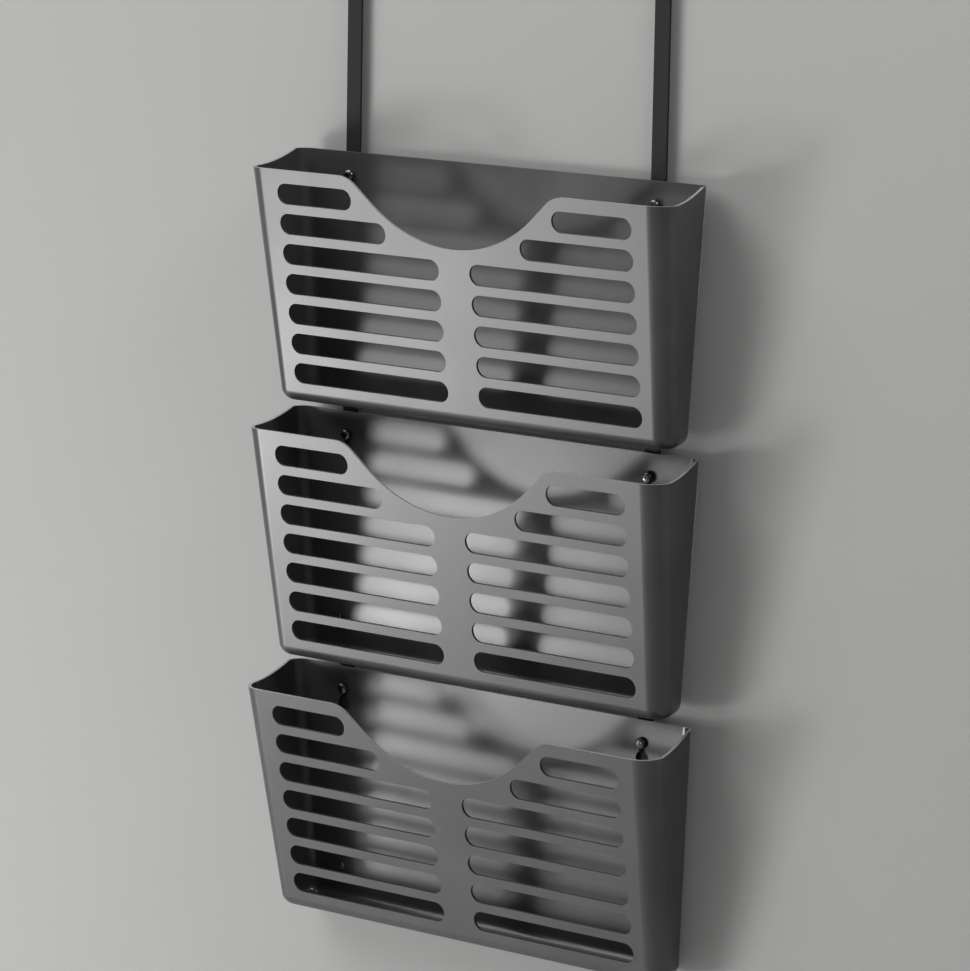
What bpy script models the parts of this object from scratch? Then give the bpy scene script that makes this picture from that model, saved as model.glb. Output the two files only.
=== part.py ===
"""Three-pocket document holder that hangs on a partition wall from two hook straps.

Frame, in metres: +X to the right of someone facing the pockets, +Y into the wall, +Z up.
The origin lies midway between the two straps, on the plane of their back faces, at the
height of the hooks' undersides, where the straps rest on the top edge of the partition.
"""

import math

import bmesh
import bpy
from mathutils import Matrix, Vector

# Moulded pocket: outer sizes, measured from the straight back rim
POCKET_WIDTH = 0.348
BACK_NARROWING = 0.0038
POCKET_DEPTH = 0.0618
POCKET_HEIGHT = 0.1723
POCKET_GAP = 0.0085
WALL = 0.002
FLOOR = 0.0022
FRONT_LEAN = math.radians(8.64)
SIDE_TAPER = math.radians(3.38)
FRONT_CORNER_RADIUS = 0.012
BACK_CORNER_RADIUS = 0.0106
FLOOR_EDGE_RADIUS = 0.0078
FRONT_RIM_DROP = 0.0092
RIM_CURVE_POWER = 1.8

# Scoop in the middle of the front wall, below the front rim
SCOOP_DEPTH = 0.0429
SCOOP_RADIUS = 0.0986
SCOOP_FLANK = math.radians(42.25)
SCOOP_SHOULDER_RADIUS = 0.0207

# Rows of slots in the front wall, measured down along the leaning face
SLOT_ROWS = 7
SLOT_HEIGHT = 0.0146
SLOT_PITCH = 0.02116
FIRST_SLOT_DROP = 0.0168
SLOT_SIDE_MARGIN = 0.0276
SLOT_END_TAPER = math.radians(0.47)
CENTRE_RIB = 0.0255
SCOOP_FLANK_WEB = 0.0083
SCOOP_ARC_WEB = 0.0066

# Keyholes and lower screw holes in the back wall
STUD_SIDE_MARGIN = 0.047
STUD_DROP = 0.0162
KEYHOLE_TRAVEL = 0.0107
KEYHOLE_HEAD_CLEARANCE = 0.0011
LOWER_HOLE_RISE = 0.0255
LOWER_HOLE_OUTSET = 0.0043
LOWER_HOLE_DIAMETER = 0.0045

# Hook straps, bent from flat steel bar
STRAP_WIDTH = 0.012
STRAP_THICKNESS = 0.002
STRAP_BEND_RADIUS = 0.002
STRAP_CORNER_RADIUS = 0.003
STRAP_TAIL = 0.018
HOOK_RISE = 0.150
HOOK_OPENING = 0.055
HOOK_LIP = 0.032

# Fasteners: a pan head screw through each strap hole, locked by a hex nut behind
SCREW_DIAMETER = 0.004
SCREW_HEAD_DIAMETER = 0.008
SCREW_HEAD_HEIGHT = 0.0027
SCREW_HEAD_STANDOFF = 0.0014
SCREW_TIP_CHAMFER = 0.0005
NUT_ACROSS_FLATS = 0.007
NUT_THICKNESS = 0.003

# The bottom pocket has no strap behind its foot, so it leans back about its screws
BOTTOM_LEAN = math.radians(2.5)

# Sizes that follow from the ones above
POCKET_PITCH = POCKET_HEIGHT + POCKET_GAP
STUD_SPAN = POCKET_WIDTH - 2 * STUD_SIDE_MARGIN
LOWER_HOLE_DROP = POCKET_HEIGHT - LOWER_HOLE_RISE

SEAT_GAP = 0.0003
CUT_OVERRUN = 0.004
CORNER_STEPS = 6
FLOOR_EDGE_STEPS = 4
ROUND_STEPS = 16

POCKET_NAMES = ("pocket_top", "pocket_middle", "pocket_bottom")
LEVEL_NAMES = ("top", "middle", "bottom")
SIDES = (("left", -1), ("right", 1))


def clear_scene():
    for item in list(bpy.data.objects):
        bpy.data.objects.remove(item, do_unlink=True)


def make_material(name, colour, roughness, metallic):
    material = bpy.data.materials.new(name)
    material.use_nodes = True
    shader = material.node_tree.nodes["Principled BSDF"]
    shader.inputs["Base Color"].default_value = (*colour, 1)
    shader.inputs["Roughness"].default_value = roughness
    shader.inputs["Metallic"].default_value = metallic
    return material


def arc(centre, radius, start, end, steps):
    """Points along an arc, both ends included, as (across, up) pairs."""
    points = []
    for step in range(steps + 1):
        angle = start + (end - start) * step / steps
        points.append((centre[0] + radius * math.cos(angle), centre[1] + radius * math.sin(angle)))
    return points


def extrude_outline(points, depth):
    """Closed prism from a loop of 3-D points and the vector that it is extruded along."""
    mesh = bmesh.new()
    near = [mesh.verts.new(point) for point in points]
    far = [mesh.verts.new(Vector(point) + Vector(depth)) for point in points]
    mesh.faces.new(near)
    mesh.faces.new(far)
    for index in range(len(points)):
        following = (index + 1) % len(points)
        mesh.faces.new((near[index], near[following], far[following], far[index]))
    bmesh.ops.recalc_face_normals(mesh, faces=mesh.faces[:])
    return mesh


def loft(rings):
    """Closed skin through a list of equal rings, capped at the first and the last.

    The rings run anticlockwise seen from above, and the first of them go upwards.
    """
    mesh = bmesh.new()
    loops = [[mesh.verts.new(point) for point in ring] for ring in rings]
    for first, second in zip(loops, loops[1:]):
        for index in range(len(first)):
            following = (index + 1) % len(first)
            mesh.faces.new((first[index], first[following], second[following], second[index]))
    mesh.faces.new(list(reversed(loops[0])))
    mesh.faces.new(loops[-1])
    return mesh


def revolve(profile, steps):
    """Turned solid about Y from (radius, y) points; a zero radius closes an end."""
    mesh = bmesh.new()
    verts = [mesh.verts.new((radius, y, 0)) for radius, y in profile]
    edges = [mesh.edges.new(pair) for pair in zip(verts, verts[1:])]
    bmesh.ops.spin(mesh, geom=verts + edges, cent=(0, 0, 0), axis=(0, 1, 0),
                   angle=2 * math.pi, steps=steps, use_merge=True)
    bmesh.ops.remove_doubles(mesh, verts=mesh.verts[:], dist=SEAT_GAP / 100)
    bmesh.ops.recalc_face_normals(mesh, faces=mesh.faces[:])
    return mesh


def add_object(name, mesh_data, material=None):
    item = bpy.data.objects.new(name, mesh_data)
    bpy.context.scene.collection.objects.link(item)
    if material is not None:
        mesh_data.materials.append(material)
    return item


def face_outwards(data):
    """Turn a closed mesh's faces round where the cuts have left it inside out."""
    mesh = bmesh.new()
    mesh.from_mesh(data)
    if mesh.calc_volume(signed=True) < 0:
        bmesh.ops.reverse_faces(mesh, faces=mesh.faces[:])
    mesh.to_mesh(data)
    mesh.free()


def finished_mesh(name, mesh, cutters, material):
    """Cut each cutter out of a bmesh and return the result as mesh data."""
    body_data = bpy.data.meshes.new(name)
    mesh.to_mesh(body_data)
    mesh.free()
    body = add_object(name + "_body", body_data)
    tools = []
    for index, cutter in enumerate(cutters):
        cutter_data = bpy.data.meshes.new(f"{name}_cutter_{index}")
        cutter.to_mesh(cutter_data)
        cutter.free()
        tool = add_object(f"{name}_cutter_{index}", cutter_data)
        tools.append(tool)
        cut = body.modifiers.new(f"cut_{index}", "BOOLEAN")
        cut.operation = "DIFFERENCE"
        cut.solver = "EXACT"
        cut.object = tool
    bpy.context.view_layer.update()
    evaluated = body.evaluated_get(bpy.context.evaluated_depsgraph_get())
    result = bpy.data.meshes.new_from_object(evaluated)
    face_outwards(result)
    result.name = name
    result.materials.clear()
    result.materials.append(material)
    for item in tools + [body]:
        bpy.data.objects.remove(item, do_unlink=True)
    result.shade_smooth()
    result.set_sharp_from_angle(angle=math.radians(30))
    return result


def joined(parts):
    """One bmesh holding several separate closed bodies."""
    whole = bmesh.new()
    for part in parts:
        data = bpy.data.meshes.new("joined_part")
        part.to_mesh(data)
        part.free()
        whole.from_mesh(data)
        bpy.data.meshes.remove(data)
    return whole


def front_plane(height):
    """Y of the front wall's outer face at a height below the back rim."""
    return -(POCKET_DEPTH + math.tan(FRONT_LEAN) * height)


def section(height, inset):
    """Horizontal section of the pocket's skin, moved inwards by the inset.

    The side wall is the straight line that touches the round corners at both of its ends.
    """
    front_half = POCKET_WIDTH / 2 + math.tan(SIDE_TAPER) * height
    front = (front_half - FRONT_CORNER_RADIUS, front_plane(height) + FRONT_CORNER_RADIUS)
    back = (front_half - BACK_NARROWING - BACK_CORNER_RADIUS, -BACK_CORNER_RADIUS)
    apart = (back[0] - front[0], back[1] - front[1])
    difference = FRONT_CORNER_RADIUS - BACK_CORNER_RADIUS
    turn = math.atan2(apart[1], apart[0]) - math.acos(difference / math.hypot(*apart))
    quarter = math.pi / 2
    right = arc(front, FRONT_CORNER_RADIUS - inset, -quarter, turn, CORNER_STEPS)
    right += arc(back, BACK_CORNER_RADIUS - inset, turn, quarter, CORNER_STEPS)
    left = [(-x, y) for x, y in reversed(right)]
    return [(x, y, height) for x, y in right + left]


def skin_rings(offset, bottom):
    """Rings of the outer skin, or with an offset of the inner one, from the top down."""
    edge_radius = FLOOR_EDGE_RADIUS - offset
    rings = [section(CUT_OVERRUN, offset)]
    for step in range(FLOOR_EDGE_STEPS + 1):
        angle = math.pi / 2 * step / FLOOR_EDGE_STEPS
        height = bottom + edge_radius * (1 - math.sin(angle))
        rings.append(section(height, offset + edge_radius * (1 - math.cos(angle))))
    return rings


def pocket_shell():
    """Open box with a wall all round, left standing above the rim for the rim cut."""
    outer = skin_rings(0, -POCKET_HEIGHT)
    inner = skin_rings(WALL, -POCKET_HEIGHT + FLOOR)
    return loft(list(reversed(outer)) + inner)


def rim_cutter():
    """Everything above the rim: level round the back corners, falling along the sides, level in front."""
    front = front_plane(-FRONT_RIM_DROP)
    side_start = -BACK_CORNER_RADIUS
    side_end = front + FRONT_CORNER_RADIUS
    profile = [(CUT_OVERRUN, 0)]
    for step in range(ROUND_STEPS + 1):
        along = step / ROUND_STEPS
        fall = 1 - (1 - along) ** RIM_CURVE_POWER
        profile.append((side_start + (side_end - side_start) * along, -FRONT_RIM_DROP * fall))
    profile.append((front - FRONT_CORNER_RADIUS, -FRONT_RIM_DROP))
    profile.append((front - FRONT_CORNER_RADIUS, 2 * CUT_OVERRUN))
    profile.append((CUT_OVERRUN, 2 * CUT_OVERRUN))
    reach = POCKET_WIDTH / 2 + CUT_OVERRUN
    points = [(-reach, y, z) for y, z in profile]
    return extrude_outline(points, (2 * reach, 0, 0))


def scoop_curve():
    """Right half of the scoop's edge, from its lowest point to the level front rim."""
    rim = -FRONT_RIM_DROP
    centre = (0, rim - SCOOP_DEPTH + SCOOP_RADIUS)
    down = -math.pi / 2
    curve = arc(centre, SCOOP_RADIUS, down, down + SCOOP_FLANK, ROUND_STEPS // 2)
    end_x, end_z = curve[-1]
    meet_x = end_x + (rim - end_z) / math.tan(SCOOP_FLANK)
    shoulder = (meet_x + SCOOP_SHOULDER_RADIUS * math.tan(SCOOP_FLANK / 2), rim - SCOOP_SHOULDER_RADIUS)
    up = math.pi / 2
    curve += arc(shoulder, SCOOP_SHOULDER_RADIUS, up + SCOOP_FLANK, up, CORNER_STEPS)
    return curve


def scoop_cutter():
    right = scoop_curve()
    left = [(-x, z) for x, z in reversed(right[1:])]
    outline = left + right
    top = 2 * CUT_OVERRUN
    outline = [(outline[0][0], top)] + outline + [(outline[-1][0], top)]
    near = front_plane(top) - CUT_OVERRUN
    points = [(x, near, z) for x, z in outline]
    return extrude_outline(points, (0, POCKET_DEPTH / 2, 0))


def beside_scoop(height):
    """X of a slot end's centre that leaves the web beside the scoop, or zero if clear of it."""
    radius = SLOT_HEIGHT / 2
    centre_z = -FRONT_RIM_DROP - SCOOP_DEPTH + SCOOP_RADIUS
    arc_end = (SCOOP_RADIUS * math.sin(SCOOP_FLANK), centre_z - SCOOP_RADIUS * math.cos(SCOOP_FLANK))
    reach = SCOOP_RADIUS + SCOOP_ARC_WEB + radius
    fall = centre_z - height
    if fall >= reach:
        return 0
    on_arc = math.sqrt(reach ** 2 - fall ** 2)
    if on_arc < fall * math.tan(SCOOP_FLANK):
        return on_arc
    flank = (SCOOP_FLANK_WEB + radius + (height - arc_end[1]) * math.cos(SCOOP_FLANK))
    return arc_end[0] + flank / math.sin(SCOOP_FLANK)


def slot_cutters():
    """Round-ended slots in rows, each cut square to the leaning front face."""
    radius = SLOT_HEIGHT / 2
    down = Vector((0, math.sin(FRONT_LEAN), -math.cos(FRONT_LEAN)))
    inward = Vector((0, math.cos(FRONT_LEAN), math.sin(FRONT_LEAN)))
    rim_middle = Vector((0, front_plane(-FRONT_RIM_DROP), -FRONT_RIM_DROP))
    slots = []
    for row in range(SLOT_ROWS):
        along = FIRST_SLOT_DROP + row * SLOT_PITCH
        margin = SLOT_SIDE_MARGIN + math.tan(SLOT_END_TAPER) * row * SLOT_PITCH
        outer = POCKET_WIDTH / 2 - margin - radius
        inner = max(CENTRE_RIB / 2 + radius, beside_scoop(rim_middle.z - along * math.cos(FRONT_LEAN)))
        outline = arc((inner, along), radius, math.pi / 2, 3 * math.pi / 2, ROUND_STEPS // 2)
        outline += arc((outer, along), radius, -math.pi / 2, math.pi / 2, ROUND_STEPS // 2)
        for _, side in SIDES:
            start = rim_middle - inward * CUT_OVERRUN
            points = [start + Vector((side * x, 0, 0)) + down * v for x, v in outline]
            slots.append(extrude_outline(points, inward * (WALL + 2 * CUT_OVERRUN)))
    return joined(slots)


def back_wall_cutters():
    """A keyhole and a lower round hole on each strap's line."""
    neck = SCREW_DIAMETER / 2 + SEAT_GAP
    eye = SCREW_HEAD_DIAMETER / 2 + KEYHOLE_HEAD_CLEARANCE
    open_angle = math.acos(neck / eye)
    holes = []
    for _, side in SIDES:
        x = side * STUD_SPAN / 2
        keyhole = arc((x, -STUD_DROP), neck, 0, math.pi, ROUND_STEPS // 2)
        keyhole += arc((x, -STUD_DROP - KEYHOLE_TRAVEL), eye, math.pi - open_angle,
                       2 * math.pi + open_angle, ROUND_STEPS)
        low_centre = (x + side * LOWER_HOLE_OUTSET, -LOWER_HOLE_DROP)
        lower = arc(low_centre, LOWER_HOLE_DIAMETER / 2, 0, 2 * math.pi, ROUND_STEPS)[:-1]
        for outline in (keyhole, lower):
            points = [(px, CUT_OVERRUN, pz) for px, pz in outline]
            holes.append(extrude_outline(points, (0, -(WALL + 2 * CUT_OVERRUN), 0)))
    return joined(holes)


def pocket_mesh(material):
    """One moulded pocket, with its own origin at the height of its screws."""
    cutters = (scoop_cutter(), rim_cutter(), slot_cutters(), back_wall_cutters())
    data = finished_mesh("pocket", pocket_shell(), cutters, material)
    data.transform(Matrix.Translation((0, 0, STUD_DROP)))
    return data


def stud_height(level):
    return -(HOOK_RISE + STUD_DROP + level * POCKET_PITCH)


def strap_profile():
    """Side view of a strap as (y, z): up the wall, over the partition and down behind it."""
    bend = STRAP_BEND_RADIUS
    over = bend + STRAP_THICKNESS
    foot = stud_height(len(POCKET_NAMES) - 1) - STRAP_TAIL
    near = (bend, -bend)
    far = (HOOK_OPENING - bend, -bend)
    half_turn = math.pi
    quarter = math.pi / 2
    inner = [(0, foot)]
    inner += arc(near, bend, half_turn, quarter, CORNER_STEPS)
    inner += arc(far, bend, quarter, 0, CORNER_STEPS)
    inner += [(HOOK_OPENING, -HOOK_LIP)]
    outer = [(HOOK_OPENING + STRAP_THICKNESS, -HOOK_LIP)]
    outer += arc(far, over, 0, quarter, CORNER_STEPS)
    outer += arc(near, over, quarter, half_turn, CORNER_STEPS)
    outer += [(-STRAP_THICKNESS, foot)]
    return inner + outer


def strap_mesh(material):
    """Bent strap with rounded ends and one clearance hole at each pocket's screw."""
    half = STRAP_WIDTH / 2
    points = [(-half, y, z) for y, z in strap_profile()]
    bar = extrude_outline(points, (STRAP_WIDTH, 0, 0))
    ends = (stud_height(len(POCKET_NAMES) - 1) - STRAP_TAIL, -HOOK_LIP)
    corners = []
    for edge in bar.edges:
        first, last = (vert.co for vert in edge.verts)
        level = any(abs(first.z - end) < SEAT_GAP and abs(last.z - end) < SEAT_GAP for end in ends)
        if level and abs(first.x - last.x) < SEAT_GAP:
            corners.append(edge)
    bmesh.ops.bevel(bar, geom=corners, offset=STRAP_CORNER_RADIUS, offset_type="OFFSET",
                    segments=CORNER_STEPS, profile=0.5, affect="EDGES")
    radius = SCREW_DIAMETER / 2 + SEAT_GAP
    holes = []
    for level in range(len(POCKET_NAMES)):
        circle = arc((0, stud_height(level)), radius, 0, 2 * math.pi, ROUND_STEPS)[:-1]
        outline = [(x, CUT_OVERRUN, z) for x, z in circle]
        holes.append(extrude_outline(outline, (0, -(STRAP_THICKNESS + 2 * CUT_OVERRUN), 0)))
    return finished_mesh("hanger_strap", bar, (joined(holes),), material)


def screw_mesh(material):
    """Pan head screw along Y, its origin on the strap's front face and its tip flush with the nut."""
    head_seat = -(SEAT_GAP + WALL + SCREW_HEAD_STANDOFF)
    shank = SCREW_DIAMETER / 2
    head = SCREW_HEAD_DIAMETER / 2
    tip = STRAP_THICKNESS + SEAT_GAP + NUT_THICKNESS
    crown_start = head_seat - SCREW_HEAD_HEIGHT / 2
    crown_depth = SCREW_HEAD_HEIGHT / 2
    profile = [(0, tip), (shank - SCREW_TIP_CHAMFER, tip), (shank, tip - SCREW_TIP_CHAMFER)]
    profile += [(shank, head_seat), (head, head_seat)]
    for step in range(CORNER_STEPS):
        angle = math.pi / 2 * step / CORNER_STEPS
        profile.append((head * math.cos(angle) ** (1 / 2), crown_start - crown_depth * math.sin(angle)))
    profile.append((0, crown_start - crown_depth))
    data = bpy.data.meshes.new("screw")
    turned = revolve(profile, ROUND_STEPS)
    turned.to_mesh(data)
    turned.free()
    data.shade_smooth()
    data.set_sharp_from_angle(angle=math.radians(40))
    data.materials.append(material)
    return data


def nut_mesh(material):
    """Hex nut along Y, its origin on the strap's front face, as the screw's is."""
    reach = NUT_ACROSS_FLATS / 2 / math.cos(math.pi / 6)
    seat = STRAP_THICKNESS + SEAT_GAP
    outline = arc((0, 0), reach, 0, 2 * math.pi, 6)[:-1]
    hexagon = extrude_outline([(x, seat, z) for x, z in outline], (0, NUT_THICKNESS, 0))
    bore = arc((0, 0), SCREW_DIAMETER / 2 + SEAT_GAP, 0, 2 * math.pi, ROUND_STEPS)[:-1]
    start = seat - CUT_OVERRUN
    cutter = extrude_outline([(x, start, z) for x, z in bore], (0, NUT_THICKNESS + 2 * CUT_OVERRUN, 0))
    return finished_mesh("nut", hexagon, (cutter,), material)


def build():
    clear_scene()
    plastic = make_material("charcoal_polystyrene", (0.045, 0.045, 0.048), 0.38, 0.0)
    paint = make_material("black_powder_coat", (0.022, 0.022, 0.023), 0.5, 0.0)
    steel = make_material("dark_zinc_steel", (0.16, 0.16, 0.165), 0.35, 1.0)

    pocket = pocket_mesh(plastic)
    back_plane = -(STRAP_THICKNESS + SEAT_GAP)
    for level, name in enumerate(POCKET_NAMES):
        item = add_object(name, pocket)
        item.location = (0, back_plane, stud_height(level))
        if name == POCKET_NAMES[-1]:
            item.location.y -= STRAP_TAIL * math.sin(BOTTOM_LEAN)
            item.rotation_euler.x = BOTTOM_LEAN

    strap = strap_mesh(paint)
    screw = screw_mesh(steel)
    nut = nut_mesh(steel)
    for side_name, side in SIDES:
        x = side * STUD_SPAN / 2
        hanger = add_object("hanger_strap_" + side_name, strap)
        hanger.location.x = x
        for level, level_name in enumerate(LEVEL_NAMES):
            place = (x, -STRAP_THICKNESS, stud_height(level))
            add_object(f"screw_{level_name}_{side_name}", screw).location = place
            add_object(f"nut_{level_name}_{side_name}", nut).location = place


build()
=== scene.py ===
import math

import bmesh
import bpy
from mathutils import Matrix, Vector
from mathutils.geometry import intersect_point_line


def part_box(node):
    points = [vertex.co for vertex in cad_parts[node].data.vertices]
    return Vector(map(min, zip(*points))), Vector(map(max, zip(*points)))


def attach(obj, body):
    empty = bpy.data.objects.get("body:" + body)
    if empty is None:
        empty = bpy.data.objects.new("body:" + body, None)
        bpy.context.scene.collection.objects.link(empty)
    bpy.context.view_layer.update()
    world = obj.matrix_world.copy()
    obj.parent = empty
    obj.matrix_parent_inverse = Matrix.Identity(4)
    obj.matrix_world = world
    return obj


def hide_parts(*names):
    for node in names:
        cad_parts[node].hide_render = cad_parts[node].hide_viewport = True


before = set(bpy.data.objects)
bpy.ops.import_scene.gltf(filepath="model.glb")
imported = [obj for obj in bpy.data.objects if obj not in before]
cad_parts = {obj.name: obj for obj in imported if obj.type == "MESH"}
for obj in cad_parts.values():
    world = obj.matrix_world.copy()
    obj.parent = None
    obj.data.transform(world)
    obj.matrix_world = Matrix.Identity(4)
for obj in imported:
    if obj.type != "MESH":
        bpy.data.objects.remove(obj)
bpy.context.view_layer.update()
scene = bpy.context.scene
scene.view_settings.view_transform = "Standard"
mm = 0.001
weld = 0.001 * mm  # points closer than this are one point
flatWithin = math.radians(0.2)  # faces that turn less than this are one flat face
sharpFrom = math.radians(32)  # edges that turn more than this are rounded
levelNames = ("top", "middle", "bottom")
sideNames = ("left", "right")
print("frame loaded:", len(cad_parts), "nodes")


# Small helpers that every piece below uses

def linearColour(hexCode):  # sRGB hex to the linear values that a shader takes
    channels = [int(hexCode[i:i + 2], 16) / 255 for i in (1, 3, 5)]
    return [c / 12.92 if c <= 0.04045 else ((c + 0.055) / 1.055) ** 2.4 for c in channels] + [1]


def addNode(tree, kind, settings=None, inputs=None):
    node = tree.nodes.new(kind)
    for name, value in (settings or {}).items():
        setattr(node, name, value)
    for name, value in (inputs or {}).items():
        if isinstance(value, bpy.types.NodeSocket):
            tree.links.new(value, node.inputs[name])
        else:
            node.inputs[name].default_value = value
    return node


def newObject(name, mesh):
    data = bpy.data.meshes.new(name)
    mesh.to_mesh(data)
    mesh.free()
    item = bpy.data.objects.new(name, data)
    scene.collection.objects.link(item)
    return item


def bakedMesh(item, name):  # the evaluated mesh as plain data; the working object goes
    graph = bpy.context.evaluated_depsgraph_get()
    graph.update()
    data = bpy.data.meshes.new_from_object(item.evaluated_get(graph))
    data.name = name
    bpy.data.objects.remove(item, do_unlink=True)
    return data


def arcPoints(centre, radius, start, end, steps):
    angles = [math.radians(start + (end - start) * i / steps) for i in range(steps + 1)]
    return [(centre[0] + radius * math.cos(a), centre[1] + radius * math.sin(a)) for a in angles]


def prism(outline, depth):  # closed solid from a loop of points and the vector it is pushed along
    mesh = bmesh.new()
    near = [mesh.verts.new(p) for p in outline]
    far = [mesh.verts.new(Vector(p) + Vector(depth)) for p in outline]
    mesh.faces.new(near)
    mesh.faces.new(far)
    for i in range(len(outline)):
        j = (i + 1) % len(outline)
        mesh.faces.new((near[i], near[j], far[j], far[i]))
    bmesh.ops.recalc_face_normals(mesh, faces=mesh.faces[:])
    return mesh


def joined(solids):  # several closed solids in one mesh
    whole = bmesh.new()
    for solid in solids:
        data = bpy.data.meshes.new("solid")
        solid.to_mesh(data)
        solid.free()
        whole.from_mesh(data)
        bpy.data.meshes.remove(data)
    return whole


def turned(profile, steps):  # lathe about Y from (radius, y) points
    mesh = bmesh.new()
    points = [mesh.verts.new((r, y, 0)) for r, y in profile]
    edges = [mesh.edges.new(pair) for pair in zip(points, points[1:])]
    bmesh.ops.spin(mesh, geom=points + edges, cent=(0, 0, 0), axis=(0, 1, 0),
                   angle=2 * math.pi, steps=steps, use_merge=True)
    bmesh.ops.remove_doubles(mesh, verts=mesh.verts[:], dist=weld)
    bmesh.ops.recalc_face_normals(mesh, faces=mesh.faces[:])
    return mesh


def cutAndRounded(body, cutters, size):
    # Boolean cuts, then the radius that the piece's sizes give along every sharp edge
    for cutter in cutters:
        cut = body.modifiers.new("cut", "BOOLEAN")
        cut.operation = "DIFFERENCE"
        cut.solver = "EXACT"
        cut.object = cutter
    data = bakedMesh(body, body.name)
    for cutter in cutters:
        bpy.data.objects.remove(cutter, do_unlink=True)
    mesh = bmesh.new()
    mesh.from_mesh(data)
    bmesh.ops.remove_doubles(mesh, verts=mesh.verts[:], dist=2 * weld)
    bmesh.ops.dissolve_limit(mesh, angle_limit=flatWithin, verts=mesh.verts[:],
                             edges=mesh.edges[:], delimit={"NORMAL"})
    if mesh.calc_volume(signed=True) < 0:
        bmesh.ops.reverse_faces(mesh, faces=mesh.faces[:])
    rounded = newObject(data.name, mesh)
    bevel = rounded.modifiers.new("edge", "BEVEL")
    bevel.width = size["edgeRound"]
    bevel.segments = size["edgeSteps"]
    bevel.limit_method = "ANGLE"
    bevel.angle_limit = sharpFrom
    bevel.miter_outer = "MITER_ARC"
    for polygon in rounded.data.polygons:
        polygon.use_smooth = True
    even = rounded.modifiers.new("even", "WEIGHTED_NORMAL")
    even.weight = 80
    return bakedMesh(rounded, data.name)


def placedPiece(name, data, material, body, replaced, matrix=Matrix.Identity(4)):
    data.transform(matrix)
    data.materials.clear()
    data.materials.append(material)
    piece = bpy.data.objects.new(name, data)
    scene.collection.objects.link(piece)
    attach(piece, body)
    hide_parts(*replaced)


# Camera, at the photograph's place and angle

cameraView = {
    "place": (1.75006, -2.40411, 0.16501),
    "yaw": 36.059,
    "pitch": 10.179,
    "roll": 1.0456,
    "focalPixels": 4437.5,
    "centrePixel": (497.3, 485.9),
    "framePixels": (970, 971),
    "sensorWidth": 36.0,
}


def makeCamera(view):
    yaw, pitch, roll = (math.radians(view[key]) for key in ("yaw", "pitch", "roll"))
    ahead = Vector((-math.sin(yaw) * math.cos(pitch), math.cos(yaw) * math.cos(pitch), -math.sin(pitch)))
    level = Vector((math.cos(yaw), math.sin(yaw), 0))
    upright = level.cross(ahead)
    right = math.cos(roll) * level + math.sin(roll) * upright
    up = -math.sin(roll) * level + math.cos(roll) * upright
    data = bpy.data.cameras.new("photoCamera")
    data.sensor_fit = "HORIZONTAL"
    data.sensor_width = view["sensorWidth"]
    width, height = view["framePixels"]
    data.lens = view["focalPixels"] / width * view["sensorWidth"]
    data.shift_x = (width / 2 - view["centrePixel"][0]) / width
    data.shift_y = (view["centrePixel"][1] - height / 2) / width
    camera = bpy.data.objects.new("photoCamera", data)
    turn = Matrix((right, up, -ahead)).transposed().to_4x4()
    camera.matrix_world = Matrix.Translation(view["place"]) @ turn
    scene.collection.objects.link(camera)
    scene.camera = camera


makeCamera(cameraView)
print("camera set")


# Materials

noiseLow, noiseHigh = 0.35, 0.65  # most of a noise's values lie between these


def newMaterial(name, settings):
    material = bpy.data.materials.new(name)
    material.use_nodes = True
    tree = material.node_tree
    shader = tree.nodes["Principled BSDF"]
    for key, value in settings.items():
        shader.inputs[key].default_value = value
    place = addNode(tree, "ShaderNodeTexCoord").outputs["Object"]
    return material, tree, shader, place


def clouded(tree, place, look):  # a slow drift from the dark to the pale colour, and the value that drives it
    cloud = addNode(tree, "ShaderNodeTexNoise", {},
                    {"Vector": place, "Scale": 1 / look["cloud"], "Detail": look["cloudDetail"]})
    amount = addNode(tree, "ShaderNodeMapRange", {},
                     {"Value": cloud.outputs["Fac"], "From Min": noiseLow, "From Max": noiseHigh}).outputs[0]
    colour = addNode(tree, "ShaderNodeMix", {"data_type": "RGBA"},
                     {"Factor": amount, 6: linearColour(look["dark"]), 7: linearColour(look["pale"])})
    return amount, colour.outputs[2]


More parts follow.
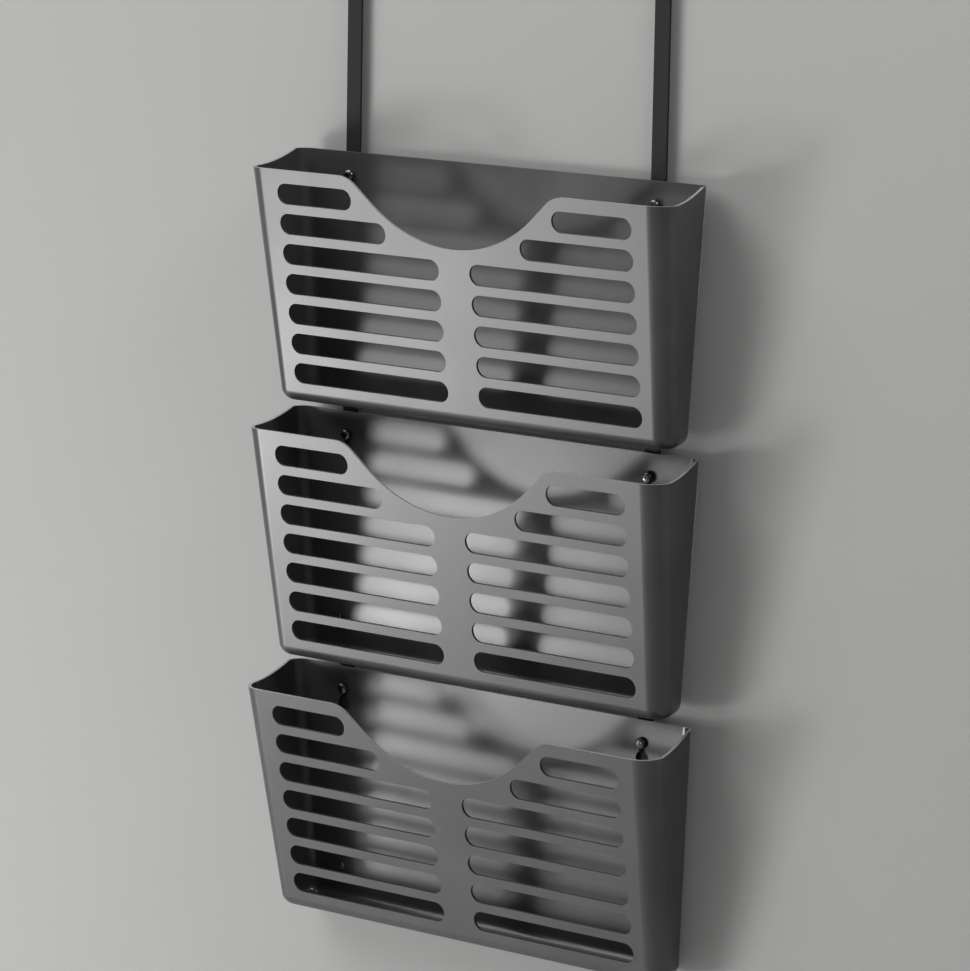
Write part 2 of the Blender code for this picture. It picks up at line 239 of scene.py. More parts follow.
def mouldedPolystyrene():
    # injection-moulded polystyrene, charcoal: satin outside, so it mirrors lamps softly, with a slight orange
    # peel, and smoother inside, where the mould's core was polished so that the part comes off it
    # the last, pale grey colour is a painted highlight along the side and front rims and the scoop's edge
    look = {"dark": "#38383a", "pale": "#424244", "cloud": 60 * mm, "cloudDetail": 4.0, "peel": 5 * mm,
            "peelHeight": 0.02 * mm, "grain": 0.9 * mm, "grainHeight": 0.012 * mm, "relief": 0.5,
            "outside": 0.33, "inside": 0.22, "uneven": 0.03, "worn": "#8a8a8c"}
    material, tree, shader, place = newMaterial("mouldedPolystyrene", {"IOR": 1.59, "Metallic": 0.0})
    amount, colour = clouded(tree, place, look)
    # painted highlight: the pale grey goes on the faces along the rims and the scoop's edge, in place of the
    # light line that their rounded edges catch
    rim = addNode(tree, "ShaderNodeAttribute", {"attribute_name": "worn"})
    highlighted = addNode(tree, "ShaderNodeMix", {"data_type": "RGBA"},
                     {"Factor": rim.outputs["Fac"], 6: colour, 7: linearColour(look["worn"])})
    skin = addNode(tree, "ShaderNodeAttribute", {"attribute_name": "inside"})
    polish = addNode(tree, "ShaderNodeMapRange", {},
                     {"Value": skin.outputs["Fac"], "To Min": look["outside"], "To Max": look["inside"]})
    patchy = addNode(tree, "ShaderNodeMath", {"operation": "MULTIPLY_ADD"},
                     {0: amount, 1: look["uneven"], 2: polish.outputs[0]})
    peel = addNode(tree, "ShaderNodeTexNoise", {}, {"Vector": place, "Scale": 1 / look["peel"]})
    ripple = addNode(tree, "ShaderNodeBump", {}, {"Height": peel.outputs["Fac"], "Strength": look["relief"],
                                                 "Distance": look["peelHeight"]})
    grain = addNode(tree, "ShaderNodeTexNoise", {},
                    {"Vector": place, "Scale": 1 / look["grain"], "Detail": 3.0})
    pitted = addNode(tree, "ShaderNodeBump", {},
                     {"Height": grain.outputs["Fac"], "Strength": look["relief"],
                      "Distance": look["grainHeight"], "Normal": ripple.outputs[0]})
    tree.links.new(highlighted.outputs[2], shader.inputs["Base Color"])
    tree.links.new(patchy.outputs[0], shader.inputs["Roughness"])
    tree.links.new(pitted.outputs[0], shader.inputs["Normal"])
    return material


def powderCoat():
    # black polyester powder coat on steel bar: matted, so it mirrors little, with a fine pebble that is drawn
    # twice as coarse as the real one so that it shows
    look = {"dark": "#131314", "pale": "#1c1c1d", "cloud": 35 * mm, "cloudDetail": 4.0, "pebble": 1.4 * mm,
            "pebbleHeight": 0.04 * mm, "relief": 0.6, "smooth": 0.58, "dull": 0.68}
    material, tree, shader, place = newMaterial("powderCoatBlack", {"IOR": 1.5, "Specular IOR Level": 0.3})
    amount, colour = clouded(tree, place, look)
    polish = addNode(tree, "ShaderNodeMapRange", {},
                     {"Value": amount, "To Min": look["smooth"], "To Max": look["dull"]})
    pebble = addNode(tree, "ShaderNodeTexNoise", {}, {"Vector": place, "Scale": 1 / look["pebble"]})
    pebbled = addNode(tree, "ShaderNodeBump", {},
                      {"Height": pebble.outputs["Fac"], "Strength": look["relief"],
                       "Distance": look["pebbleHeight"]})
    tree.links.new(colour, shader.inputs["Base Color"])
    tree.links.new(polish.outputs[0], shader.inputs["Roughness"])
    tree.links.new(pebbled.outputs[0], shader.inputs["Normal"])
    return material


def blackZinc():
    # zinc-plated steel, dark passivated: a grey metal with a clear highlight and slight handling marks
    look = {"dark": "#4c4c50", "pale": "#7c7c80", "cloud": 3 * mm, "cloudDetail": 3.0, "marks": 0.8 * mm,
            "smooth": 0.18, "dull": 0.28}
    material, tree, shader, place = newMaterial("blackZincSteel", {"Metallic": 1.0})
    amount, colour = clouded(tree, place, look)
    marks = addNode(tree, "ShaderNodeTexNoise", {}, {"Vector": place, "Scale": 1 / look["marks"]})
    polish = addNode(tree, "ShaderNodeMapRange", {},
                     {"Value": marks.outputs["Fac"], "From Min": noiseLow, "From Max": noiseHigh,
                      "To Min": look["smooth"], "To Max": look["dull"]})
    tree.links.new(colour, shader.inputs["Base Color"])
    tree.links.new(polish.outputs[0], shader.inputs["Roughness"])
    return material


plasticLook = mouldedPolystyrene()
coatLook = powderCoat()
zincLook = blackZinc()
print("materials made")


# Geometry Nodes trees for what repeats

def newTree(name, sockets):
    tree = bpy.data.node_groups.new(name, "GeometryNodeTree")
    tree.interface.new_socket("Geometry", in_out="INPUT", socket_type="NodeSocketGeometry")
    tree.interface.new_socket("Geometry", in_out="OUTPUT", socket_type="NodeSocketGeometry")
    for label, kind in sockets:
        tree.interface.new_socket(label, in_out="INPUT", socket_type=kind)
    return tree, addNode(tree, "NodeGroupInput").outputs, addNode(tree, "NodeGroupOutput")


def finishTree(tree, geometry, material, output):
    real = addNode(tree, "GeometryNodeRealizeInstances", {}, {"Geometry": geometry})
    coated = addNode(tree, "GeometryNodeSetMaterial", {}, {"Geometry": real.outputs[0], "Material": material})
    tree.links.new(coated.outputs[0], output.inputs["Geometry"])


def slotFieldTree():  # a round-ended cutter at each point, as long as the point's own reach says
    sockets = [("End Radius", "NodeSocketFloat"), ("Cut Depth", "NodeSocketFloat"),
               ("Round Steps", "NodeSocketInt"), ("Material", "NodeSocketMaterial")]
    tree, given, output = newTree("slotField", sockets)
    disc = addNode(tree, "GeometryNodeMeshCircle", {"fill_type": "NGON"},
                   {"Vertices": given["Round Steps"], "Radius": given["End Radius"]})
    across = addNode(tree, "ShaderNodeSeparateXYZ", {},
                     {"Vector": addNode(tree, "GeometryNodeInputPosition").outputs[0]}).outputs["X"]
    sign = addNode(tree, "ShaderNodeMath", {"operation": "SIGN"}, {0: across}).outputs[0]
    marked = addNode(tree, "GeometryNodeStoreNamedAttribute", {"data_type": "FLOAT", "domain": "POINT"},
                     {"Geometry": disc.outputs[0], "Name": "end", "Value": sign})
    laid = addNode(tree, "GeometryNodeInstanceOnPoints", {},
                   {"Points": given["Geometry"], "Instance": marked.outputs[0]})
    real = addNode(tree, "GeometryNodeRealizeInstances", {}, {"Geometry": laid.outputs[0]})
    end = addNode(tree, "GeometryNodeInputNamedAttribute", {"data_type": "FLOAT"},
                  {"Name": "end"}).outputs[0]
    reach = addNode(tree, "GeometryNodeInputNamedAttribute", {"data_type": "FLOAT"},
                    {"Name": "reach"}).outputs[0]
    slide = addNode(tree, "ShaderNodeMath", {"operation": "MULTIPLY"}, {0: end, 1: reach}).outputs[0]
    offset = addNode(tree, "ShaderNodeCombineXYZ", {}, {"X": slide}).outputs[0]
    stretched = addNode(tree, "GeometryNodeSetPosition", {},
                        {"Geometry": real.outputs[0], "Offset": offset}).outputs[0]
    raised = addNode(tree, "GeometryNodeExtrudeMesh", {"mode": "FACES"},
                     {"Mesh": stretched, "Offset Scale": given["Cut Depth"]}).outputs[0]
    under = addNode(tree, "GeometryNodeFlipFaces", {}, {"Mesh": stretched}).outputs[0]
    both = addNode(tree, "GeometryNodeJoinGeometry")
    tree.links.new(raised, both.inputs[0])
    tree.links.new(under, both.inputs[0])
    closed = addNode(tree, "GeometryNodeMergeByDistance", {}, {"Geometry": both.outputs[0], "Distance": weld})
    finishTree(tree, closed.outputs[0], given["Material"], output)
    return tree


def fastenerTree():  # one copy of the fastener at each point
    sockets = [("Fastener", "NodeSocketObject"), ("Material", "NodeSocketMaterial")]
    tree, given, output = newTree("fastenerSet", sockets)
    model = addNode(tree, "GeometryNodeObjectInfo", {}, {"Object": given["Fastener"]}).outputs["Geometry"]
    laid = addNode(tree, "GeometryNodeInstanceOnPoints", {}, {"Points": given["Geometry"], "Instance": model})
    finishTree(tree, laid.outputs[0], given["Material"], output)
    return tree


def addTree(item, tree, values):
    modifier = item.modifiers.new(tree.name, "NODES")
    modifier.node_group = tree
    for socket in tree.interface.items_tree:
        if socket.in_out == "INPUT" and socket.name in values:
            modifier[socket.identifier] = values[socket.name]


slotField = slotFieldTree()
fastenerSet = fastenerTree()
print("node trees built")


# Pocket: an open moulded box, straight at the back, leaning in front, with a falling side rim

pocket = {
    "width": 347.83 * mm,  # the solid's width, less what its coarser corners take off
    "narrowing": 3.8 * mm,
    "depth": 61.8 * mm,
    "height": 172.3 * mm,
    "wall": 2.0 * mm,
    "floor": 2.2 * mm,
    "lean": math.radians(8.64),
    "taper": math.radians(3.38),
    "frontCorner": 12 * mm,  # at the floor
    "rimCorner": 15 * mm,  # at the rim, where the CAD solid keeps the floor's radius
    "backCorner": 10.6 * mm,
    "floorEdge": 7.8 * mm,
    "rimDrop": 9.2 * mm,
    "rimPower": 1.8,
    "scoopDepth": 42.9 * mm,
    "scoopRadius": 98.6 * mm,
    "scoopFlank": 42.25,
    "shoulder": 20.7 * mm,
    "rows": 7,
    "slotHeight": 14.6 * mm,
    "slotPitch": 21.16 * mm,
    "firstSlot": 16.8 * mm,
    "slotMargin": 27.6 * mm,
    "slotTaper": math.radians(0.47),
    "centreRib": 25.5 * mm,
    "flankWeb": 8.3 * mm,
    "arcWeb": 6.6 * mm,
    "neck": 2.3 * mm,
    "eye": 5.1 * mm,
    "studDrop": 16.2 * mm,
    "eyeDrop": 10.7 * mm,
    "lowerHole": 2.25 * mm,
    "lowerRise": 25.5 * mm,
    "lowerOutset": 4.3 * mm,
    "edgeRound": 0.7 * mm,
    "edgeSteps": 3,
    "overrun": 4.0 * mm,  # how far a cutter reaches past what it cuts
    "scoopHighlight": 1.1,  # the painted highlight line's width beside the scoop, as a share of the edge's radius
    "slotSteps": 30,  # never a multiple of four, so that no corner of a slot's end lies on its middle line
    "cornerSteps": 14,
    "floorSteps": 10,
    "rimSteps": 40,
    "scoopSteps": 24,
    "holeSteps": 32,
    "bottomLean": math.radians(2.5),
    "strapTail": 18.0 * mm,
}


def frontAt(height):  # y of the front wall's outer face
    return -(pocket["depth"] + math.tan(pocket["lean"]) * height)


def cornerAt(height):  # radius of the two front vertical corners
    return pocket["rimCorner"] + (pocket["rimCorner"] - pocket["frontCorner"]) * height / pocket["height"]


def ringAt(height, inset):  # horizontal section; the side walls touch the round corners at both ends
    half = pocket["width"] / 2 + math.tan(pocket["taper"]) * height
    nearR, farR = cornerAt(height), pocket["backCorner"]
    near = Vector((half - nearR, frontAt(height) + nearR))
    far = Vector((half - pocket["narrowing"] - farR, -farR))
    apart = far - near
    turn = math.degrees(math.atan2(apart.y, apart.x) - math.acos((nearR - farR) / apart.length))
    right = arcPoints(near, nearR - inset, -90, turn, pocket["cornerSteps"])
    right += arcPoints(far, farR - inset, turn, 90, pocket["cornerSteps"])
    left = [(-x, y) for x, y in reversed(right)]
    return [(x, y, height) for x, y in right + left]


def skinRings(offset, bottom):
    radius = pocket["floorEdge"] - offset
    rings = [ringAt(pocket["overrun"], offset)]
    for step in range(pocket["floorSteps"] + 1):
        turn = math.pi / 2 * step / pocket["floorSteps"]
        rings.append(ringAt(bottom + radius * (1 - math.sin(turn)), offset + radius * (1 - math.cos(turn))))
    return rings


def shellBody():
    outer = skinRings(0, -pocket["height"])
    inner = skinRings(pocket["wall"], -pocket["height"] + pocket["floor"])
    mesh = bmesh.new()
    loops = [[mesh.verts.new(p) for p in ring] for ring in list(reversed(outer)) + inner]
    for first, second in zip(loops, loops[1:]):
        for i in range(len(first)):
            j = (i + 1) % len(first)
            mesh.faces.new((first[i], first[j], second[j], second[i]))
    mesh.faces.new(list(reversed(loops[0])))
    mesh.faces.new(loops[-1])
    return newObject("pocketShell", mesh)


def rimCutter():
    front, drop, over = frontAt(-pocket["rimDrop"]), pocket["rimDrop"], pocket["overrun"]
    sideStart, sideEnd = -pocket["backCorner"], front + pocket["frontCorner"]
    profile = [(over, 0)]
    for step in range(pocket["rimSteps"] + 1):
        y = sideStart + (sideEnd - sideStart) * step / pocket["rimSteps"]
        profile.append((y, rimAt(y)))
    profile += [(front - over, -drop), (front - over, 2 * over), (over, 2 * over)]
    reach = pocket["width"] / 2 + over
    return newObject("rimCutter", prism([(-reach, y, z) for y, z in profile], (2 * reach, 0, 0)))


def scoopCurve():  # right half of the scoop's edge, from its lowest point up to the level rim
    rim, flank = -pocket["rimDrop"], math.radians(pocket["scoopFlank"])
    centre = (0, rim - pocket["scoopDepth"] + pocket["scoopRadius"])
    curve = arcPoints(centre, pocket["scoopRadius"], -90, -90 + pocket["scoopFlank"], pocket["scoopSteps"])
    meet = curve[-1][0] + (rim - curve[-1][1]) / math.tan(flank)
    shoulder = (meet + pocket["shoulder"] * math.tan(flank / 2), rim - pocket["shoulder"])
    return curve + arcPoints(shoulder, pocket["shoulder"], 90 + pocket["scoopFlank"], 90,
                             pocket["scoopSteps"] // 2)


def scoopCutter():
    right = scoopCurve()
    outline = [(-x, z) for x, z in reversed(right[1:])] + right
    top = 2 * pocket["overrun"]
    outline = [(outline[0][0], top)] + outline + [(outline[-1][0], top)]
    near = frontAt(top) - pocket["overrun"]
    return newObject("scoopCutter", prism([(x, near, z) for x, z in outline], (0, pocket["depth"] / 2, 0)))


def besideScoop(height):  # x of a slot end's centre that leaves the web beside the scoop
    radius, flank = pocket["slotHeight"] / 2, math.radians(pocket["scoopFlank"])
    centre = -pocket["rimDrop"] - pocket["scoopDepth"] + pocket["scoopRadius"]
    reach, fall = pocket["scoopRadius"] + pocket["arcWeb"] + radius, centre - height
    if fall >= reach:
        return 0
    onArc = math.sqrt(reach ** 2 - fall ** 2)
    if onArc < fall * math.tan(flank):
        return onArc
    endX = pocket["scoopRadius"] * math.sin(flank)
    endZ = centre - pocket["scoopRadius"] * math.cos(flank)
    return endX + (pocket["flankWeb"] + radius + (height - endZ) * math.cos(flank)) / math.sin(flank)


def slotCutters():
    radius, lean = pocket["slotHeight"] / 2, pocket["lean"]
    spots, reaches = [], []
    for row in range(pocket["rows"]):
        along = pocket["firstSlot"] + row * pocket["slotPitch"]
        margin = pocket["slotMargin"] + math.tan(pocket["slotTaper"]) * row * pocket["slotPitch"]
        outer = pocket["width"] / 2 - margin - radius
        inner = max(pocket["centreRib"] / 2 + radius,
                    besideScoop(-pocket["rimDrop"] - along * math.cos(lean)))
        for side in (-1, 1):
            spots.append((side * (inner + outer) / 2, -along, 0))
            reaches.append((outer - inner) / 2)
    data = bpy.data.meshes.new("slotCutters")
    data.from_pydata(spots, [], [])
    data.attributes.new("reach", "FLOAT", "POINT").data.foreach_set("value", reaches)
    field = bpy.data.objects.new("slotCutters", data)
    scene.collection.objects.link(field)
    steps, depth = pocket["slotSteps"], pocket["wall"] + 2 * pocket["overrun"]
    addTree(field, slotField, {"End Radius": radius / math.cos(math.pi / steps), "Round Steps": steps,
                               "Cut Depth": depth, "Material": plasticLook})
    data = bakedMesh(field, "slotCutters")
    up = Vector((0, -math.sin(lean), math.cos(lean)))
    outward = Vector((0, -math.cos(lean), -math.sin(lean)))
    start = Vector((0, frontAt(-pocket["rimDrop"]), -pocket["rimDrop"]))
    start -= outward * (pocket["wall"] + pocket["overrun"])
    turn = Matrix((Vector((1, 0, 0)), up, outward)).transposed().to_4x4()
    data.transform(Matrix.Translation(start) @ turn)
    cutter = bpy.data.objects.new("slotCutters", data)
    scene.collection.objects.link(cutter)
    return cutter


def backCutters():
    over, outlines = pocket["overrun"], []
    opening = math.degrees(math.acos(pocket["neck"] / pocket["eye"]))
    for stud in studX:
        keyhole = arcPoints((stud, -pocket["studDrop"]), pocket["neck"], 0, 180, pocket["holeSteps"] // 2)
        keyhole += arcPoints((stud, -pocket["studDrop"] - pocket["eyeDrop"]), pocket["eye"], 180 - opening,
                             360 + opening, pocket["holeSteps"])
        lowX = stud + math.copysign(pocket["lowerOutset"], stud)
        low = arcPoints((lowX, -pocket["height"] + pocket["lowerRise"]), pocket["lowerHole"], 0, 360,
                        pocket["holeSteps"])[:-1]
        outlines += [keyhole, low]
    depth = (0, -(pocket["wall"] + 2 * over), 0)
    cutters = [prism([(x, over, z) for x, z in line], depth) for line in outlines]
    return newObject("backCutters", joined(cutters))


def boxCentre(node):
    low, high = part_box(node)
    return (low + high) / 2


studX = [boxCentre(f"screw_top_{side}").x for side in sideNames]


def depthInWall(point):  # 0 on the outer skin, the wall's thickness on the inner one
    x, y, z = abs(point.x), point.y, point.z
    nearR, farR, edge = cornerAt(z), pocket["backCorner"], pocket["floorEdge"]
    half, front = pocket["width"] / 2 + math.tan(pocket["taper"]) * z, frontAt(z)
    along = (y - front) / -front
    side = half - pocket["narrowing"] * max(0, along) - x
    depth = min(side, (y - front) * math.cos(pocket["lean"]), -y)
    if x > half - nearR and y < front + nearR:
        depth = nearR - math.hypot(x - half + nearR, y - front - nearR)
    if x > half - pocket["narrowing"] - farR and y > -farR:
        depth = farR - math.hypot(x - half + pocket["narrowing"] + farR, y + farR)
    rise = z + pocket["height"]
    if depth < edge and rise < edge:
        return edge - math.hypot(edge - depth, edge - rise)
    return min(depth, rise)


def rimAt(y):  # height of the side and front rims
    sideStart, sideEnd = -pocket["backCorner"], frontAt(-pocket["rimDrop"]) + pocket["frontCorner"]
    along = min(1, max(0, (y - sideStart) / (sideEnd - sideStart)))
    return -pocket["rimDrop"] * (1 - (1 - along) ** pocket["rimPower"])


def scoopGap(point, curve):  # distance in X and Z from the scoop's edge
    spot, gap = Vector((abs(point.x), point.z)), math.inf
    for start, end in zip(curve, curve[1:]):
        share = min(1, max(0, intersect_point_line(spot, start, end)[1]))
        gap = min(gap, (Vector(start).lerp(Vector(end), share) - spot).length)
    return gap


def paintedHighlightFaces(data):  # 1 along the side and front rims and the scoop, where a pale line is painted in as the rounded edges' highlight
    curve, reach, scooped, worn = scoopCurve(), pocket["edgeRound"], set(), []
    for vert in data.vertices:
        inFront = vert.co.y < frontAt(vert.co.z) + 2 * pocket["wall"]
        if inFront and scoopGap(vert.co, curve) < pocket["scoopHighlight"] * reach:
            scooped.add(vert.index)
    for face in data.polygons:
        y, z = face.center.y, face.center.z
        onRim = y < -pocket["backCorner"] and rimAt(y) - z < reach
        worn.append(1 if onRim or scooped.issuperset(face.vertices) else 0)
    return worn


def makePockets():
    data = cutAndRounded(shellBody(), [scoopCutter(), rimCutter(), slotCutters(), backCutters()], pocket)
    inside = [min(1, max(0, depthInWall(vert.co) / pocket["wall"])) for vert in data.vertices]
    data.attributes.new("inside", "FLOAT", "POINT").data.foreach_set("value", inside)
    # painted highlight: marks the faces along the rims and the scoop's edge that take the pale colour
    data.attributes.new("worn", "FLOAT", "FACE").data.foreach_set("value", paintedHighlightFaces(data))
    data.transform(Matrix.Translation((0, 0, pocket["studDrop"])))
    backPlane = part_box("pocket_top")[1].y
    for level in levelNames:
        place = Vector((0, backPlane, boxCentre(f"screw_{level}_left").z))
        turn = Matrix.Identity(4)
        if level == "bottom":  # no strap behind its foot, so it leans back about its screws
            place.y -= pocket["strapTail"] * math.sin(pocket["bottomLean"])
            turn = Matrix.Rotation(pocket["bottomLean"], 4, "X")
        node = "pocket_" + level
        placedPiece("moulding_" + level, data.copy(), plasticLook, node, [node],
                    Matrix.Translation(place) @ turn)
    print("pockets made:", len(data.polygons), "faces each")


makePockets()


# Straps: flat bar bent over the partition's top edge

strap = {
    "width": 12 * mm,
    "thickness": 2 * mm,
    "bend": 2 * mm,
    "endCorner": 3 * mm,
    "opening": 55 * mm,
    "lip": 32 * mm,
    "hole": 2.3 * mm,
    "edgeRound": 0.35 * mm,
    "edgeSteps": 3,
    "bendSteps": 14,
    "endSteps": 10,
    "holeSteps": 24,
    "near": 0.1 * mm,  # an edge this close to a bar's end lies on it
}


def strapBody(foot):
    bend, over = strap["bend"], strap["bend"] + strap["thickness"]
    near, far = (bend, -bend), (strap["opening"] - bend, -bend)
    inside = [(0, foot)] + arcPoints(near, bend, 180, 90, strap["bendSteps"])
    inside += arcPoints(far, bend, 90, 0, strap["bendSteps"]) + [(strap["opening"], -strap["lip"])]
    outside = [(strap["opening"] + strap["thickness"], -strap["lip"])]
    outside += arcPoints(far, over, 0, 90, strap["bendSteps"])
    outside += arcPoints(near, over, 90, 180, strap["bendSteps"])
    outside.append((-strap["thickness"], foot))
    mesh = prism([(-strap["width"] / 2, y, z) for y, z in inside + outside], (strap["width"], 0, 0))
    corners = []
    for edge in mesh.edges:
        a, b = (v.co for v in edge.verts)
        atEnd = any(abs(a.z - z) + abs(b.z - z) < strap["near"] for z in (foot, -strap["lip"]))
        if atEnd and abs(a.x - b.x) < strap["near"]:
            corners.append(edge)
    bmesh.ops.bevel(mesh, geom=corners, offset=strap["endCorner"], offset_type="OFFSET",
                    segments=strap["endSteps"], profile=0.5, affect="EDGES")
    return newObject("strapBar", mesh)


def makeStraps():
    clear = 2 * strap["thickness"]
    for side in sideNames:
        node, holes = "hanger_strap_" + side, []
        for level in levelNames:
            centre = (0, boxCentre(f"screw_{level}_{side}").z)
            circle = arcPoints(centre, strap["hole"], 0, 360, strap["holeSteps"])[:-1]
            holes.append(prism([(x, clear, z) for x, z in circle], (0, -2 * clear, 0)))
        cutter = newObject("strapHoles", joined(holes))
        data = cutAndRounded(strapBody(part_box(node)[0].z), [cutter], strap)
        placedPiece("strap_" + side, data, coatLook, "hanger", [node],
                    Matrix.Translation((boxCentre(node).x, 0, 0)))
    print("straps made")


makeStraps()


# Screws and nuts

screw = {
    "headRadius": 4 * mm,
    "headHeight": 2.7 * mm,
    "shankRadius": 2 * mm,
    "tipCone": 0.6 * mm,
    "tipLength": 0.5 * mm,
    "threadPitch": 0.7 * mm,
    "threadDepth": 0.22 * mm,
    "plainShank": 0.3 * mm,
    "headEdge": 0.25 * mm,
    "headSide": 0.35,  # share of the head's height that is straight
    "crownPower": 0.55,
    "crownSteps": 12,
    "roundSteps": 40,
    "recessReach": 2.1 * mm,
    "recessWidth": 0.85 * mm,
    "recessDepth": 1.5 * mm,
    "recessTaper": 0.5,
    "recessTurn": 20,
    "smoothBelow": 35,
}
nut = {
    "acrossFlats": 7 * mm,
    "faceInset": 0.1 * mm,
    "cornerSlope": math.radians(30),
    "bore": 2.3 * mm,
    "mouth": 1.2 * mm,
    "mouthDepth": 0.2 * mm,
    "roundSteps": 48,
    "smoothBelow": 20,
}
pastEnd = 1 * mm  # how far a cutter stands out of a screw or nut


def modelFrom(body, steps, smoothBelow):  # Boolean steps, then smooth shading with sharp edges
    for operation, tool in steps:
        step = body.modifiers.new("step", "BOOLEAN")
        step.operation = operation
        step.object = tool
    data = bakedMesh(body, body.name)
    for operation, tool in steps:
        bpy.data.objects.remove(tool, do_unlink=True)
    data.shade_smooth()
    data.set_sharp_from_angle(angle=math.radians(smoothBelow))
    model = bpy.data.objects.new(data.name, data)
    scene.collection.objects.link(model)
    return model


def screwModel(length):  # origin at the head's seat, head towards -Y
    head, height, shank = screw["headRadius"], screw["headHeight"], screw["shankRadius"]
    pitch, root, edge = screw["threadPitch"], shank - screw["threadDepth"], screw["headEdge"]
    threadEnd = length - screw["tipLength"]
    profile = [(0, length), (shank - screw["tipCone"], length), (root, threadEnd)]
    for k in range(int((threadEnd - pitch) / pitch)):
        crest = threadEnd - (k + 0.5) * pitch
        profile += [(shank, crest), (root, crest - pitch / 2)]
    profile += [(root, screw["plainShank"]), (shank, 0), (head - edge, 0), (head, -edge)]
    side = screw["headSide"] * height
    profile.append((head, -side))
    for k in range(1, screw["crownSteps"]):
        turn = math.pi / 2 * k / screw["crownSteps"]
        profile.append((head * math.cos(turn) ** screw["crownPower"],
                        -side - (height - side) * math.sin(turn)))
    profile.append((0, -height))
    reach, wide, steps = screw["recessReach"], screw["recessWidth"] / 2, []
    for angle in (0, 90):  # the two crossed slots of the driver recess narrow towards their floor
        outline = [(-reach, -wide), (reach, -wide), (reach, wide), (-reach, wide)]
        arm = prism([(x, -height - pastEnd, z) for x, z in outline], (0, screw["recessDepth"] + pastEnd, 0))
        for vert in arm.verts:
            if vert.co.y > -height:
                vert.co.x *= screw["recessTaper"]
                vert.co.z *= screw["recessTaper"]
        arm.transform(Matrix.Rotation(math.radians(angle + screw["recessTurn"]), 4, "Y"))
        steps.append(("DIFFERENCE", newObject("arm", arm)))
    body = newObject("screwModel", turned(profile, screw["roundSteps"]))
    return modelFrom(body, steps, screw["smoothBelow"])


def nutModel(thickness):  # origin in the middle of its front face, thickness towards +Y
    reach = nut["acrossFlats"] / 2 / math.cos(math.pi / 6)
    mesh = prism([(x, 0, z) for x, z in arcPoints((0, 0), reach, 0, 360, 6)[:-1]], (0, thickness, 0))
    inner, outer = nut["acrossFlats"] / 2 - nut["faceInset"], reach + pastEnd
    rise = (outer - inner) * math.tan(nut["cornerSlope"])
    corners = turned([(0, 0), (inner, 0), (outer, rise), (outer, thickness - rise), (inner, thickness),
                      (0, thickness)], nut["roundSteps"])
    hole, mouth, depth = nut["bore"], nut["bore"] + nut["mouth"], nut["mouthDepth"]
    bore = turned([(0, -pastEnd), (mouth, -pastEnd), (hole, depth), (hole, thickness - depth),
                   (mouth, thickness + pastEnd), (0, thickness + pastEnd)], nut["roundSteps"])
    steps = [("INTERSECT", newObject("corners", corners)), ("DIFFERENCE", newObject("bore", bore))]
    return modelFrom(newObject("nutModel", mesh), steps, nut["smoothBelow"])


def makeFasteners(kind, model, nodes, points):
    data = bpy.data.meshes.new(kind)
    data.from_pydata(points, [], [])
    item = bpy.data.objects.new(kind, data)
    scene.collection.objects.link(item)
    addTree(item, fastenerSet, {"Fastener": model, "Material": zincLook})
    result = bakedMesh(item, kind)
    bpy.data.objects.remove(model, do_unlink=True)
    placedPiece(kind, result, zincLook, "hanger", nodes)
    print(kind, "made:", len(points))


screwNodes = [f"screw_{level}_{side}" for level in levelNames for side in sideNames]
nutNodes = [f"nut_{level}_{side}" for level in levelNames for side in sideNames]
screwLow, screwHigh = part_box(screwNodes[0])
headSeat = screwLow.y + screw["headHeight"]
makeFasteners("panHeadScrews", screwModel(screwHigh.y - headSeat), screwNodes,
              [(boxCentre(n).x, headSeat, boxCentre(n).z) for n in screwNodes])
nutLow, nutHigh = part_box(nutNodes[0])
makeFasteners("hexNuts", nutModel(nutHigh.y - nutLow.y), nutNodes,
              [(boxCentre(n).x, nutLow.y, boxCentre(n).z) for n in nutNodes])


# Studio: a pale floor and backdrop wall, which stands where the partition's face would, and plain soft lamps

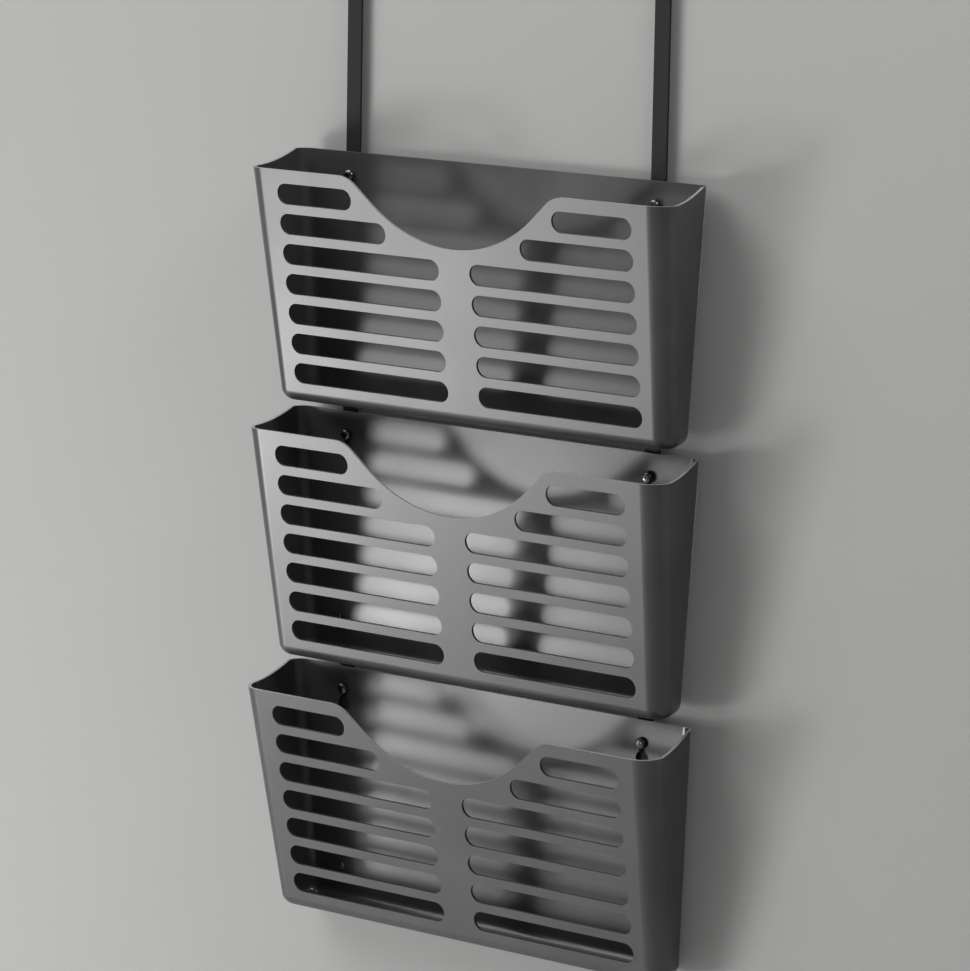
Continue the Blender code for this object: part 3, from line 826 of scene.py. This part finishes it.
studio = {
    "floorHeight": -1.45,
    "floorHalf": 12.0,
    "floorColour": "#d4d4d3",
    "wallGap": 1 * mm,
    "wallTop": -1 * mm,
    "wallHalf": 6.0,
    "wallColour": "#a6a6a5",
    "paintRoughness": 0.7,
    "worldColour": "#ffffff",
    "worldStrength": 0.2,
    "lamps": {  # brightness in watts a square metre and steradian, so a lamp can be resized at the same glow
        "upperLeft": {"place": (-1.25, -1.55, -0.64), "size": (0.4, 0.16), "brightness": 5.0},
        "middleLeft": {"place": (-1.25, -1.55, -0.83), "size": (0.4, 0.2), "brightness": 15.5},
        "upperFaint": {"place": (-1.17, -1.61, -0.5), "size": (0.6, 0.15), "brightness": 1.6},
        "lowerLeft": {"place": (-1.57, -1.31, -1.11), "size": (0.4, 0.4), "brightness": 28.0},
        "lowerWide": {"place": (-1.09, -1.67, -1.07), "size": (0.8, 0.28), "brightness": 4.6},
        "overheadFront": {"place": (-1.5, -1.4, 1.7), "size": (2.0, 2.0), "brightness": 4.0},
        "overhead": {"place": (-0.6, -0.5, 2.1), "size": (1.5, 1.5), "brightness": 2.0},
        "overheadRight": {"place": (1.0, -0.35, 0.75), "size": (0.5, 0.5), "brightness": 9.0},
        "behind": {"place": (-1.2, 2.1, -0.6), "size": (1.2, 1.0), "brightness": 11.0},
    },
    "aim": (0, -0.05, -0.35),
}


def stageSheet(name, corners, colour):
    mesh = bmesh.new()
    mesh.faces.new([mesh.verts.new(corner) for corner in corners])
    sheet = newObject(name, mesh)
    material, tree, shader = newMaterial(name + "Paint", {"Roughness": studio["paintRoughness"],
                                                          "Base Color": linearColour(colour)})[:3]
    sheet.data.materials.append(material)
    return sheet, tree, shader


def makeStudio():
    half, floor = studio["floorHalf"], studio["floorHeight"]
    stageSheet("floor", [(-half, -half, floor), (half, -half, floor), (half, half, floor),
                         (-half, half, floor)], studio["floorColour"])
    side, top = studio["wallHalf"], studio["wallTop"]
    face = nutHigh.y + studio["wallGap"]
    wall, tree, shader = stageSheet("wall", [(-side, face, floor), (side, face, floor), (side, face, top),
                                             (-side, face, top)], studio["wallColour"])
    wall.visible_shadow = False  # the lamp behind reaches the pockets' backs
    clear = addNode(tree, "ShaderNodeBsdfTransparent")  # from behind the wall is clear, so it hides nothing
    behind = addNode(tree, "ShaderNodeNewGeometry").outputs["Backfacing"]
    either = addNode(tree, "ShaderNodeMixShader", {}, {0: behind, 1: shader.outputs[0], 2: clear.outputs[0]})
    tree.links.new(either.outputs[0], tree.nodes["Material Output"].inputs["Surface"])
    world = bpy.data.worlds.new("studioWorld")
    world.use_nodes = True
    background = world.node_tree.nodes["Background"]
    background.inputs["Color"].default_value = linearColour(studio["worldColour"])
    background.inputs["Strength"].default_value = studio["worldStrength"]
    scene.world = world
    for name, lamp in studio["lamps"].items():
        data = bpy.data.lights.new(name, "AREA")
        data.shape = "RECTANGLE"
        data.size, data.size_y = lamp["size"]
        data.energy = lamp["brightness"] * math.pi * data.size * data.size_y
        item = bpy.data.objects.new(name, data)
        item.location = lamp["place"]
        item.rotation_euler = (Vector(studio["aim"]) - item.location).to_track_quat("-Z", "Y").to_euler()
        item.visible_camera = False
        scene.collection.objects.link(item)
    print("studio lit")


makeStudio()
